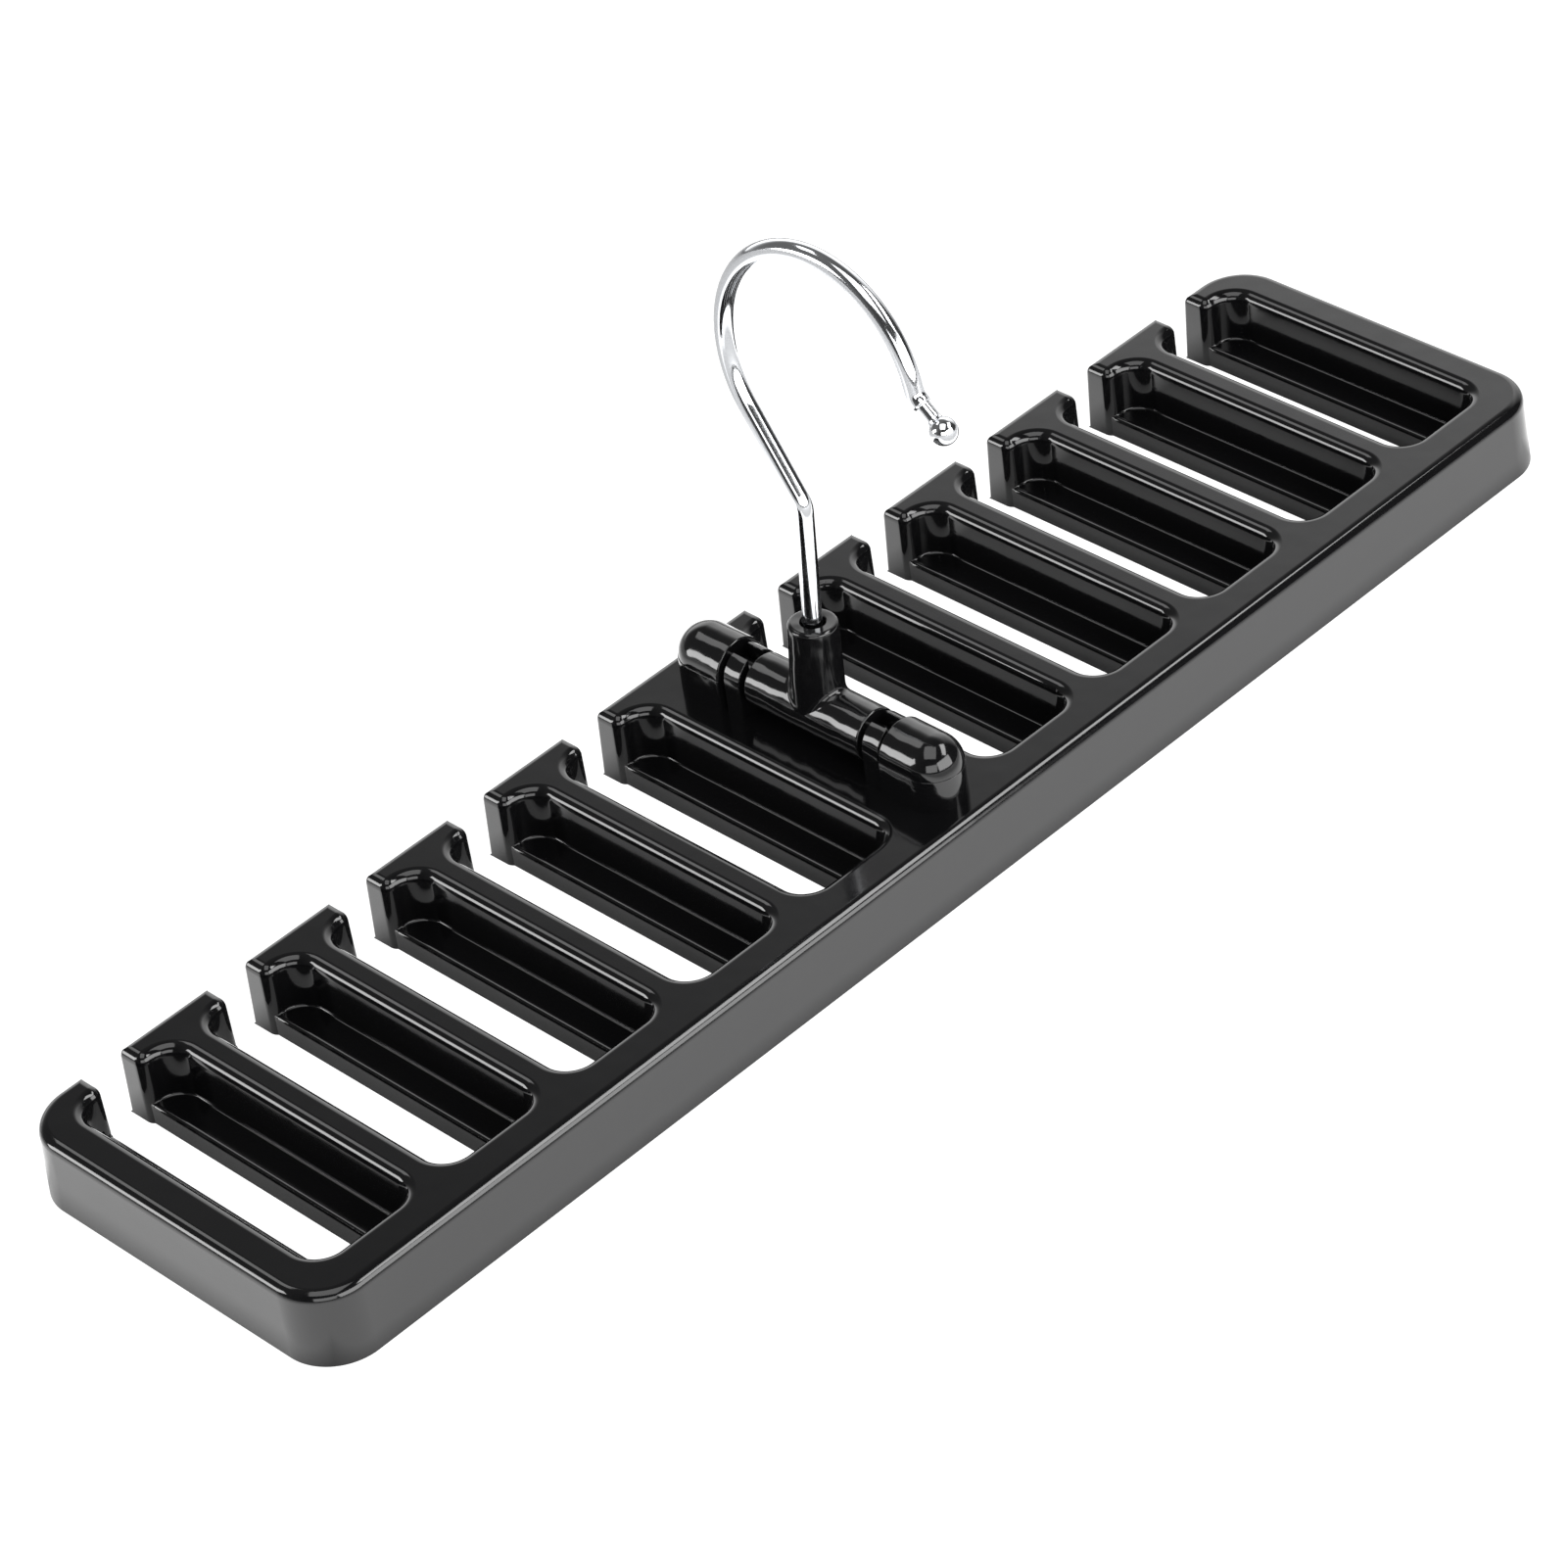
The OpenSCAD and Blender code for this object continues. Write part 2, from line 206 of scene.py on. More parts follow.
def turned(profile, around):
    """A profile turned round Z: at angle t the point is (radius cos t, radius sin t, height)."""
    t = np.linspace(0, 2 * math.pi, around, endpoint=False)
    c, s = np.cos(t), np.sin(t)
    r, z, a = (np.asarray(v, float)[:, None] for v in profile)
    points = np.stack([r * c, r * s, z + 0 * c], -1)
    normals = np.stack([np.cos(a) * c, np.cos(a) * s, np.sin(a) + 0 * c], -1)
    return points, normals


# ---------- rack ----------

# Stands in for the radius where the outline has no small round that an inset could use up
NO_ROUND = 1e9


def plan_arc(x, y, r, a0, a1, count, inward=False):
    """Rows of the outline on an arc from angle a0 to a1 in degrees. The normal points away
    from the plastic, and inward marks a hollow corner, where the plastic lies outside.

    Columns: x, y, normal x, normal y, round's radius, its corner's directions x and y,
    ledge weight from 0 to 1, and 1 where the wall stands on the ledge."""
    a = np.radians(np.linspace(a0, a1, count))
    ring = np.stack([np.cos(a), np.sin(a)], 1)
    out = np.zeros((count, 9))
    out[:, 0:2] = [x, y] + r * ring
    out[:, 2:4] = -ring if inward else ring
    out[:, 4] = NO_ROUND if inward else r
    if not inward:
        mid = math.radians((a0 + a1) / 2)
        out[:, 5:7] = [math.copysign(1, math.cos(mid)), math.copysign(1, math.sin(mid))]
    return out


def slot_end_line(x0, x1, count):
    """Rows of the outline along a slot's closed end, where the plastic lies at -Y."""
    out = np.zeros((count, 9))
    out[:, 0] = np.linspace(x0, x1, count)
    out[:, 1] = SLOT_Y0
    out[:, 3] = 1
    out[:, 4] = NO_ROUND
    return out


def half_slot():
    """Outline of the half of a slot at +X, from the mouth's corner to the slot's middle."""
    mouth, through, small = MOUTH / 2, THROUGH_W / 2, MOUTH_CORNER_R
    shoulder_x, shoulder_y = mouth + EDGE_R, SLOT_Y1 + EDGE_R
    # the angle on the shoulder's round where the ledge begins
    split = 180 + math.degrees(math.acos((shoulder_x - through) / EDGE_R))
    corner_x = SLOT_W / 2 - SLOT_R
    plain = [plan_arc(mouth + small, RACK_D / 2 - small, small, 90, 180, 8),
             plan_arc(shoulder_x, shoulder_y, EDGE_R, 180, split, 8)]
    ledge = np.concatenate([
        plan_arc(shoulder_x, shoulder_y, EDGE_R, split, 270, 8),
        plan_arc(corner_x, SLOT_Y1 - SLOT_R, SLOT_R, 90, 0, 16, inward=True),
        plan_arc(corner_x, SLOT_Y0 + SLOT_R, SLOT_R, 0, -90, 16, inward=True),
        slot_end_line(corner_x, through, 6)])
    grows_over = 1.5
    ledge[:, 7] = np.clip((ledge[:, 0] - through) / grows_over, 0, 1)
    ledge[:, 8] = 1
    return np.concatenate(plain + [ledge, slot_end_line(through, 0, 2)])


def rack_outline():
    """The rack's whole outline seen from above, anticlockwise, with a last column that
    holds the middle of the slot that each point belongs to, or 0."""
    x, y, count = RACK_L / 2 - CORNER_R, RACK_D / 2 - CORNER_R, 28
    half = half_slot()
    other = half[::-1].copy()
    other[:, [0, 2, 5]] *= -1
    slot = np.concatenate([half, other])
    parts = [(plan_arc(x, -y, CORNER_R, -90, 0, count), 0),
             (plan_arc(x, y, CORNER_R, 0, 90, count), 0)]
    for middle in sorted(SLOT_X, reverse=True):
        here = slot.copy()
        here[:, 0] += middle
        parts.append((here, middle))
    parts += [(plan_arc(-x, y, CORNER_R, 90, 180, count), 0),
              (plan_arc(-x, -y, CORNER_R, 180, 270, count), 0)]
    return np.concatenate([np.column_stack([p, np.full(len(p), float(c))]) for p, c in parts])


def rack_shell(surface):
    """The rack's top, sides, slots and ledges, as a grid of profile steps by outline points.

    Each point of the outline carries one profile, from the flat top over the rounded
    edge and down the leaning wall. In a slot the profile goes on round the cove onto
    the ledge, over the ledge's rounded lip and down."""
    o = rack_outline()
    place, plan_normal, radius, corner = o[:, 0:2], o[:, 2:4], o[:, 4:5], o[:, 5:7]
    weight, ledge, middle = o[:, 7:8], o[:, 8:9] > 0, o[:, 9:10]
    flat_n = np.column_stack([plan_normal, 0 * weight])

    # draft: how far the wall moves out for each millimetre down, by the way it faces
    past_shoulder = 4.0
    outside = (middle == 0) | (place[:, 1:] > SLOT_Y1 + past_shoulder)
    slot_wall = DRAFT_SLOTS * ledge * plan_normal[:, :1] ** 2
    out_x = np.where(middle == 0, DRAFT_ENDS, slot_wall)
    out_y = np.where(outside, DRAFT_SIDES, 0.0)
    along_faces = corner * np.column_stack([out_x, out_y])
    squares = plan_normal ** 2
    along_normal = plan_normal * np.where(outside, out_x * squares[:, :1] + out_y * squares[:, 1:], out_x)
    at_corner = (corner != 0).any(1, keepdims=True) & outside
    slope = np.where(at_corner, along_faces, along_normal)
    start = np.where(outside, -slope * RACK_H, 0.0)
    draft = (slope * plan_normal).sum(1, keepdims=True)
    lean = np.arctan(draft)

    def at(z, inset, drop):
        """The outline at height z, leaning by its draft over the drop from the top, and
        moved in by inset. A small corner keeps its round until the inset is larger than
        it, and then becomes a mitre."""
        xy = (place + (start + slope * drop) - plan_normal * np.minimum(inset, radius)
              - corner * np.maximum(inset - radius, 0) + 0 * z)
        return np.concatenate([xy, z + 0 * xy[..., :1]], -1)

    # the rounded edge, from the flat top to the wall
    turn = np.linspace(0, 1, 13)[:, None, None] * (QUARTER - lean)
    inset = EDGE_R / np.cos(lean) - EDGE_R * draft - EDGE_R * np.sin(turn)
    edge = at(RACK_H - EDGE_R + EDGE_R * np.cos(turn), inset, 0.0)
    edge_n = flat_n * np.sin(turn) + UP * np.cos(turn)
    surface.flat_top(edge[0])

    # the cove at the wall's foot, and the ledge's flat
    wall_n = flat_n * np.cos(lean) + UP * np.sin(lean)
    b = np.linspace(0, QUARTER, 8)[:, None, None]
    r = COVE_R * weight
    cove = at(LEDGE_Z + r * (1 - np.sin(b)), 0.0, RACK_H - LEDGE_Z)
    cove[..., :2] += plan_normal * r * (1 - np.cos(b))
    cove_n = np.where(weight > 0, flat_n * np.cos(b) + UP * np.sin(b), wall_n)
    flat = cove[-1:]
    ledge_n = np.where(ledge, UP, wall_n)[None]

    # the ledge's lip and the wall under it
    side = np.sign(place[:, :1] - middle)
    inward = side * [1.0, 0.0, 0.0]
    rim = np.column_stack([middle + side * THROUGH_W / 2, np.clip(place[:, 1], SLOT_Y0, RACK_D), 0 * side])
    c = np.linspace(0, QUARTER, 7)[:, None, None]
    r = LIP_R * weight
    lip = rim + inward * r * (1 - np.sin(c)) + UP * (LEDGE_Z - r * (1 - np.cos(c)))
    lip_n = np.where(ledge, UP * np.cos(c) - inward * np.sin(c), wall_n)
    bottom = np.where(ledge, rim, at(0.0, 0.0, RACK_H))[None]
    bottom_n = np.where(ledge, -inward, wall_n)[None]
    surface.grid(np.concatenate([edge, cove, flat, np.where(ledge, lip, flat), bottom]),
                 np.concatenate([edge_n, cove_n, ledge_n, lip_n, bottom_n]), around=True)


def rack_underside(surface):
    """The cored underside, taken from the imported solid: its rim at height 0, and every
    face that lies one wall's thickness inside the outline or up inside a post."""
    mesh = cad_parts["rack"].data
    mesh.calc_loop_triangles()
    co = np.empty(len(mesh.vertices) * 3)
    mesh.vertices.foreach_get("co", co)
    tri = np.empty(len(mesh.loop_triangles) * 3, np.int32)
    mesh.loop_triangles.foreach_get("vertices", tri)
    p = co.reshape(-1, 3)[tri.reshape(-1, 3)] / MM
    x, y, z = p[..., 0], p[..., 1], p[..., 2]
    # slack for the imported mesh, which follows curves by flat pieces
    slack = 0.03
    past_x = np.abs(x) - RACK_L / 2 + CORNER_R
    past_y = np.abs(y) - RACK_D / 2 + CORNER_R
    round_corner = (past_x > 0) & (past_y > 0)
    depth = CORNER_R - np.where(round_corner, np.hypot(past_x, past_y), np.maximum(past_x, past_y))
    gap = np.where(z < LEDGE_Z - slack, THROUGH_W / 2, SLOT_W / 2)
    for middle in SLOT_X:
        body = np.maximum(np.abs(x - middle) - gap, np.maximum(SLOT_Y0 - y, y - SLOT_Y1))
        mouth = np.maximum(np.abs(x - middle) - MOUTH / 2, SLOT_Y1 - y)
        depth = np.minimum(depth, np.minimum(body, mouth))
    along = np.abs(y - HINGE[1])
    off_axis = np.sqrt(x ** 2 + np.maximum(along - DOME_AT, 0) ** 2 + np.maximum(z - HINGE[2], 0) ** 2)
    in_post = ((off_axis < POST_R - WALL + slack) & (along > POST_IN + WALL - slack)
               & (z > RACK_H - WALL - slack))
    cored = (depth > WALL - slack) & (z < RACK_H - WALL + slack) | in_post
    keep = cored.all(1) | (z < slack).all(1)
    surface.triangles(p[keep])


def rack_post(surface, end):
    """A domed post. Its plan runs along both sides and round the half-round end.

    At each point of the plan the wall rises to the hinge's axis, then a quarter circle
    closes over to the ridge, so the end is a quarter of a ball. The inner edge is broken
    by a small round. end is 1 or -1."""
    broken = 0.3
    k = np.linspace(0, QUARTER, 5)
    side_y = np.append(POST_IN + broken * (1 - np.cos(k)), DOME_AT)
    side_less = np.append(broken * (1 - np.sin(k)), 0.0)
    side_back = np.append(QUARTER - k, 0.0)
    t = np.linspace(0, math.pi, 33)[1:-1]
    plan_y = np.concatenate([side_y, DOME_AT + 0 * t, side_y[::-1]])
    less = np.concatenate([side_less, 0 * t, side_less[::-1]])
    back = np.concatenate([side_back, 0 * t, side_back[::-1]])[:, None]
    nx = np.concatenate([1 + 0 * side_y, np.cos(t), -1 + 0 * side_y])
    ny = np.concatenate([0 * side_y, np.sin(t), 0 * side_y])
    # profile: distance out, height, angle climbed over the dome, and the normal's angle
    wall_lean, step_r = 0.012, POST_R + POST_STEP
    wall = [(step_r + 0.1, FOOT_Z, 0, wall_lean), (step_r, -0.04, 0, wall_lean),
            (step_r - 0.04, 0, 0, 0.8), (POST_R, 0, 0, 1.3)]
    a = np.linspace(0, QUARTER, 25)
    dome = np.column_stack([POST_R + 0 * a, 0 * a, a, a])
    out, z, climb, tilt = np.concatenate([wall, dome]).T[:, :, None]
    r = (out - less) * np.cos(climb)
    points = np.stack([nx * r, plan_y + ny * r, z + (out - less) * np.sin(climb)], -1)
    level = np.stack([nx * np.cos(tilt), ny * np.cos(tilt), np.sin(tilt) + 0 * nx], -1)
    normals = level * np.cos(back) - np.array([0, 1, 0]) * np.sin(back)
    flip = np.array([1, end, 1])
    surface.grid(points * flip + HINGE, normals * flip)
    inner_face = np.concatenate([points[:, 0], points[::-1, -1]])
    surface.polygon(inner_face * flip + HINGE, np.array([0.0, -end, 0.0]))


def extruded(surface, outline, normals, y0, y1, broken, flip):
    """An outline in X and Z round the hinge's axis, carried along Y from y0 to y1, with
    its end edges broken by small rounds, and flat ends."""
    k = np.linspace(0, QUARTER, 4)
    ys = np.concatenate([y0 + broken * (1 - np.cos(k)), y1 - broken * (1 - np.cos(k[::-1]))])
    inset = broken * np.concatenate([1 - np.sin(k), 1 - np.sin(k[::-1])])
    tilt = np.concatenate([k - QUARTER, QUARTER - k[::-1]])[:, None]
    xz = outline - normals * inset[:, None, None]
    points = np.stack([xz[..., 0], ys[:, None] + 0 * xz[..., 0], xz[..., 1]], -1)
    nx, nz = normals[:, 0], normals[:, 1]
    n = np.stack([nx * np.cos(tilt), np.sin(tilt) + 0 * nx, nz * np.cos(tilt)], -1)
    surface.grid(points * flip + HINGE, n * flip, around=True)
    for row, way in ((0, -1.0), (-1, 1.0)):
        surface.polygon(points[row] * flip + HINGE, np.array([0.0, way, 0.0]) * flip)


def rack_clip(surface, end):
    """A clip: a block with a round top and a bore that is open upwards. Its outline goes
    up one side, over the prong, down into the bore, round it and back. end is 1 or -1."""
    half, lip = CLIP_MOUTH / 2, 0.25
    cut, bore_cut = math.acos(half / CLIP_R), math.acos(half / BORE_R)
    top, bore_top = CLIP_R * math.sin(cut), BORE_R * math.sin(bore_cut)
    a = np.linspace(0, cut - 0.07, 18)
    round_top = np.column_stack([np.cos(a), np.sin(a)])
    b = np.linspace(bore_cut, -math.pi - bore_cut, 40)
    ring = np.column_stack([np.cos(b), np.sin(b)])
    prong = [(half + lip * 0.25, top - lip * 0.25), (half, top - lip)]
    right = np.concatenate([[(CLIP_R, FOOT_Z)], round_top * CLIP_R, prong, [(half, bore_top)]])
    right_n = np.concatenate([[(1.0, 0.0)], round_top, [(0.3, 1.0), (-1.0, 0.3), (-1.0, 0.0)]])
    mirror = np.array([-1, 1])
    outline = np.concatenate([right, ring * BORE_R, right[::-1] * mirror])
    normals = unit(np.concatenate([right_n, -ring, right_n[::-1] * mirror]))
    extruded(surface, outline, normals, CLIP_IN, CLIP_IN + CLIP_W, 0.18, np.array([1, end, 1]))


# ---------- tee ----------

# Leans the tee along the rack, about the hinge's axis
TEE_TURN = np.array([[math.cos(LEAN), 0, math.sin(LEAN)], [0, 1, 0], [-math.sin(LEAN), 0, math.cos(LEAN)]])


def tee_barrel(surface):
    """The barrel with its broken end edges, its end faces and its two journals, turned
    round the hinge's axis."""
    face = BARREL_L / 2
    half = chain(
        (0, JOURNAL_END, QUARTER), (JOURNAL_R - 0.25, JOURNAL_END, QUARTER),
        edge_round(JOURNAL_R, JOURNAL_END, 0.25),
        (JOURNAL_R, face, 0.0), (JOURNAL_R, face, QUARTER), (BARREL_R - 0.35, face, QUARTER),
        edge_round(BARREL_R, face, 0.35),
        (BARREL_R, 0.0, 0.0))
    z_to_y = np.array([[1, 0, 0], [0, 0, 1], [0, -1, 0]], float)
    turn = TEE_TURN @ z_to_y
    for end in (1, -1):
        points, normals = turned((half[0], half[1] * end, half[2] * end), 96)
        surface.grid(points @ turn.T + HINGE, normals @ turn.T, around=True)


def tee_socket(surface):
    """The socket: a tapered round that flows into the barrel, with a rounded rim, and
    inside it the recess, the bore and the washer's pocket.

    In each direction round its axis a curve with three control points joins the wall,
    the line where wall and barrel would meet, and the barrel a little further out."""
    count, meets_at, blend_up, blend_out = 128, 3.0, 1.3, 1.5
    t = np.linspace(0, 2 * math.pi, count, endpoint=False)
    c, s = np.cos(t), np.sin(t)
    taper = (SOCKET_FOOT_R - SOCKET_RIM_R) / SOCKET_UP
    foot_r = SOCKET_FOOT_R - taper * meets_at
    foot_z = np.sqrt(np.maximum(BARREL_R ** 2 - (foot_r * c) ** 2, 0))
    out_r = foot_r + blend_out * np.abs(s) ** 1.5
    out_z = np.sqrt(np.maximum(BARREL_R ** 2 - (out_r * c) ** 2, 0))
    wall_z = foot_z + blend_up
    wall_r = SOCKET_FOOT_R - taper * wall_z
    on_wall = np.stack([wall_r * c, wall_r * s, wall_z], -1)
    meeting = np.stack([foot_r * c, foot_r * s, foot_z], -1)
    on_barrel = np.stack([out_r * c, out_r * s, out_z], -1)
    wall_n = unit(np.stack([c, s, taper + 0 * c], -1))
    barrel_n = unit(np.stack([out_r * c, 0 * c, out_z], -1))
    k = np.linspace(0, 1, 12)[:, None, None]
    blend = (1 - k) ** 2 * on_wall + 2 * k * (1 - k) * meeting + k * k * on_barrel
    blend_n = (1 - k) * wall_n + k * barrel_n
    rim_round = 0.75
    a = np.linspace(QUARTER, 0, 8)
    rim, rim_n = turned((SOCKET_RIM_R - rim_round + rim_round * np.cos(a),
                         SOCKET_UP - rim_round + rim_round * np.sin(a), a), count)
    surface.grid(np.concatenate([rim, blend]) @ TEE_TURN.T + HINGE,
                 np.concatenate([rim_n, blend_n]) @ TEE_TURN.T, around=True)
    bore, floor_z, broken = WIRE_R + PLAY, SOCKET_UP - RECESS_DROP, 0.15
    inner = chain((SOCKET_RIM_R - rim_round, SOCKET_UP, QUARTER), (RECESS_R + broken, SOCKET_UP, QUARTER),
                  (RECESS_R, SOCKET_UP - broken, 1.5 * QUARTER), (RECESS_R, SOCKET_UP - 0.2, math.pi),
                  (RECESS_R, floor_z, math.pi), (RECESS_R, floor_z, QUARTER),
                  (bore, floor_z, QUARTER), (bore, floor_z, math.pi),
                  (bore, POCKET_TOP, math.pi), (bore, POCKET_TOP, -QUARTER),
                  (POCKET_R, POCKET_TOP, -QUARTER), (POCKET_R, POCKET_TOP, math.pi),
                  (POCKET_R, POCKET_LOW, math.pi))
    points, normals = turned(inner, 96)
    surface.grid(points @ TEE_TURN.T + HINGE, normals @ TEE_TURN.T, around=True)


# ---------- hook ----------

def wire_path():
    """The wire's centre line, as points and directions in its own plane: out towards the
    open side and up. It is straights and arcs that follow each other without a corner,
    each arc's point found by turning the direction evenly along it.

    The slant lies along the line that touches the arch's circle and passes through the
    bend, so the bend's angle follows from where the arch's centre is."""
    bend_up, bend_r = 41.6, 5.0
    arch_out, arch_rise, arch_r = 6.5, 28.5, 22.5
    arch_stops_early, tip_turn, tip_r = math.radians(16), math.radians(38), 3.0
    reach = math.hypot(arch_out, arch_rise)
    bend = math.atan2(arch_rise, arch_out) + math.asin(arch_r / reach) - QUARTER
    cut = bend_r * math.tan(bend / 2)
    slant = math.sqrt(reach ** 2 - arch_r ** 2) - cut
    # a straight's length or an arc's radius, the turn towards the open side, and the points
    steps = [(bend_up - cut, 0.0, 1), (bend_r, -bend, 23), (slant, 0.0, 1),
             (arch_r, math.pi + bend - arch_stops_early, 119), (1.4, 0.0, 1),
             (tip_r, -tip_turn, 15), (0.3, 0.0, 1)]
    points, angles = [np.zeros((1, 2))], [np.zeros(1)]
    for size, turn, count in steps:
        at, facing = points[-1][-1], angles[-1][-1]
        after = facing + np.linspace(0, turn, count + 1)[1:]
        if turn:
            chord = np.column_stack([math.cos(facing) - np.cos(after), np.sin(after) - math.sin(facing)])
            points.append(at + math.copysign(size, turn) * chord)
        else:
            points.append(at + size * np.array([[math.sin(facing), math.cos(facing)]]))
        angles.append(after)
    return np.concatenate(points), np.concatenate(angles)


def hook_surface(surface):
    """The wire as rings across its centre line, with its riveted foot, the collar in the
    recess, the drawn neck and the ball. Each ring's radius comes from the place along the
    wire, and the ring lies square to the wire."""
    path, facing = wire_path()
    rivet_top = POCKET_TOP - PLAY - WASHER_T - PLAY
    foot, collar = rivet_top - 0.9, SOCKET_UP - RECESS_DROP + PLAY
    # foot, stem and collar: radius, height from the hinge and tilt of the normal
    stem = chain((0, foot, -QUARTER), (1.9, foot, -QUARTER), (2.3, foot + 0.12, -0.9),
                 (2.5, foot + 0.4, 0.0), (2.5, rivet_top - 0.1, 0.0), (2.42, rivet_top, QUARTER),
                 (WIRE_R, rivet_top, QUARTER), (WIRE_R, rivet_top, 0.0),
                 (WIRE_R, collar, 0.0), (WIRE_R, collar, -QUARTER), (2.0, collar, -QUARTER),
                 (2.2, collar + 0.2, 0.0), (2.2, collar + 0.75, 0.0), (2.05, collar + 0.97, 0.9),
                 (1.8, collar + 1.0, QUARTER), (WIRE_R, collar + 1.02, 0.4), (WIRE_R, collar + 1.1, 0.0))
    # shoulder, neck and ball: the same with the distance past the wire path's end
    k = np.linspace(0, 1, 5)
    ball_at, meets = 6.0, math.asin(NECK_R / BALL_R)
    neck_end = ball_at - BALL_R * math.cos(meets)
    b = np.linspace(math.pi - meets, 0, 26)
    tip = chain((WIRE_R - (WIRE_R - NECK_R) * (3 * k ** 2 - 2 * k ** 3), 0.15 + 0.55 * k,
                 0.75 * np.sin(math.pi * k)),
                (NECK_R, 3.2, 0.0), (NECK_R + 0.02, neck_end - 0.25, -0.25),
                (NECK_R + 0.1, neck_end - 0.08, -0.6),
                (BALL_R * np.sin(b), ball_at + BALL_R * np.cos(b), QUARTER - b))
    way = np.array([math.sin(facing[-1]), math.cos(facing[-1])])
    straight = np.column_stack([0 * stem[1], stem[1]])
    centre = np.concatenate([straight, path[1:], path[-1] + tip[1][:, None] * way])
    f = np.concatenate([0 * stem[1], facing[1:], facing[-1] + 0 * tip[1]])
    r = np.concatenate([stem[0], WIRE_R + 0 * facing[1:], tip[0]])[:, None, None]
    a = np.concatenate([stem[2], 0 * facing[1:], tip[2]])[:, None, None]
    t = np.linspace(0, 2 * math.pi, 40, endpoint=False)[:, None]
    along = np.stack([np.sin(f), 0 * f, np.cos(f)], -1)[:, None]
    across = np.stack([np.cos(f), 0 * f, -np.sin(f)], -1)[:, None]
    ring = across * np.cos(t) + np.array([0.0, 1.0, 0.0]) * np.sin(t)
    points = np.stack([centre[:, 0], 0 * f, centre[:, 1]], -1)[:, None] + ring * r
    normals = ring * np.cos(a) + along * np.sin(a)
    to_open_side = np.array([[0, 1, 0], [-1, 0, 0], [0, 0, 1]], float)
    turn = TEE_TURN @ to_open_side
    surface.grid(points @ turn.T + HINGE, normals @ turn.T, around=True)


def washer_surface(surface):
    """A flat ring with its stamped edges slightly rounded, turned round the stem."""
    top, bore, rim = POCKET_TOP - PLAY, WIRE_R + PLAY, 3.3
    low = top - WASHER_T
    profile = chain((bore, top, QUARTER), (rim - 0.15, top, QUARTER), (rim, top - 0.15, 0.0),
                    (rim, low + 0.1, 0.0), (rim - 0.08, low, -QUARTER), (bore, low, -QUARTER),
                    (bore, low, math.pi), (bore, top, math.pi))
    points, normals = turned(profile, 64)
    surface.grid(points @ TEE_TURN.T + HINGE, normals @ TEE_TURN.T, around=True)


# ---------- materials ----------

def colour(code):
    """An sRGB hex colour as linear values, opaque."""
    v = np.array([int(code[i:i + 2], 16) / 255 for i in (1, 3, 5)])
    return (*np.where(v <= 0.04045, v / 12.92, ((v + 0.055) / 1.055) ** 2.4), 1.0)


def add(tree, kind, settings=None, links=None):
    """Adds a node, sets its values by name or by socket, and links its inputs."""
    made = tree.nodes.new(kind)
    for name, value in (settings or {}).items():
        if isinstance(name, int) or name in made.inputs:
            made.inputs[name].default_value = value
        else:
            setattr(made, name, value)
    for name, source in (links or {}).items():
        tree.links.new(source, made.inputs[name])
    return made


def new_material(name):
    """A node material with an empty tree."""
    made = bpy.data.materials.new(name)
    made.use_nodes = True
    made.node_tree.nodes.clear()
    return made, made.node_tree


def black_plastic(name, base, rough, waves):
    """ABS moulded in a polished tool, black all through: a deep gloss with faint, wide
    ripples from cooling, and a thin haze of handling marks that only the highlights show."""
    made, tree = new_material(name)
    place = add(tree, "ShaderNodeTexCoord").outputs["Object"]
    # cooling ripples about 6 mm wide
    ripple = add(tree, "ShaderNodeTexNoise", {"Scale": 170.0, "Detail": 1.0, "Roughness": 0.4},
                 {"Vector": place})
    # orange peel about 1.2 mm wide
    peel = add(tree, "ShaderNodeTexNoise", {"Scale": 800.0, "Detail": 1.0, "Roughness": 0.5},
               {"Vector": place})
    # handling marks about 17 mm wide, which make the gloss a little duller
    haze = add(tree, "ShaderNodeTexNoise", {"Scale": 60.0, "Detail": 5.0, "Roughness": 0.65},
               {"Vector": place})
    duller = add(tree, "ShaderNodeMapRange",
                 {"From Min": 0.35, "From Max": 0.75, "To Min": rough, "To Max": rough + 0.05},
                 {"Value": haze.outputs["Fac"]})
    # the thick rounded parts above the rack's top sink and ripple more than the flat rack
    parts = add(tree, "ShaderNodeSeparateXYZ", links={"Vector": place})
    thick = add(tree, "ShaderNodeMapRange",
                {"From Min": RACK_H * MM, "From Max": 0.018,
                 "To Min": 0.00002 * waves, "To Max": 0.0003 * waves},
                {"Value": parts.outputs["Z"]})
    first = add(tree, "ShaderNodeBump", {"Strength": 1.0},
                {"Height": ripple.outputs["Fac"], "Distance": thick.outputs["Result"]})
    second = add(tree, "ShaderNodeBump", {"Strength": 1.0, "Distance": 0.0000006 * waves},
                 {"Height": peel.outputs["Fac"], "Normal": first.outputs["Normal"]})
    shader = add(tree, "ShaderNodeBsdfPrincipled", {"Base Color": colour(base), "IOR": 1.54},
                 {"Roughness": duller.outputs["Result"], "Normal": second.outputs["Normal"]})
    add(tree, "ShaderNodeOutputMaterial", links={"Surface": shader.outputs["BSDF"]})
    return made


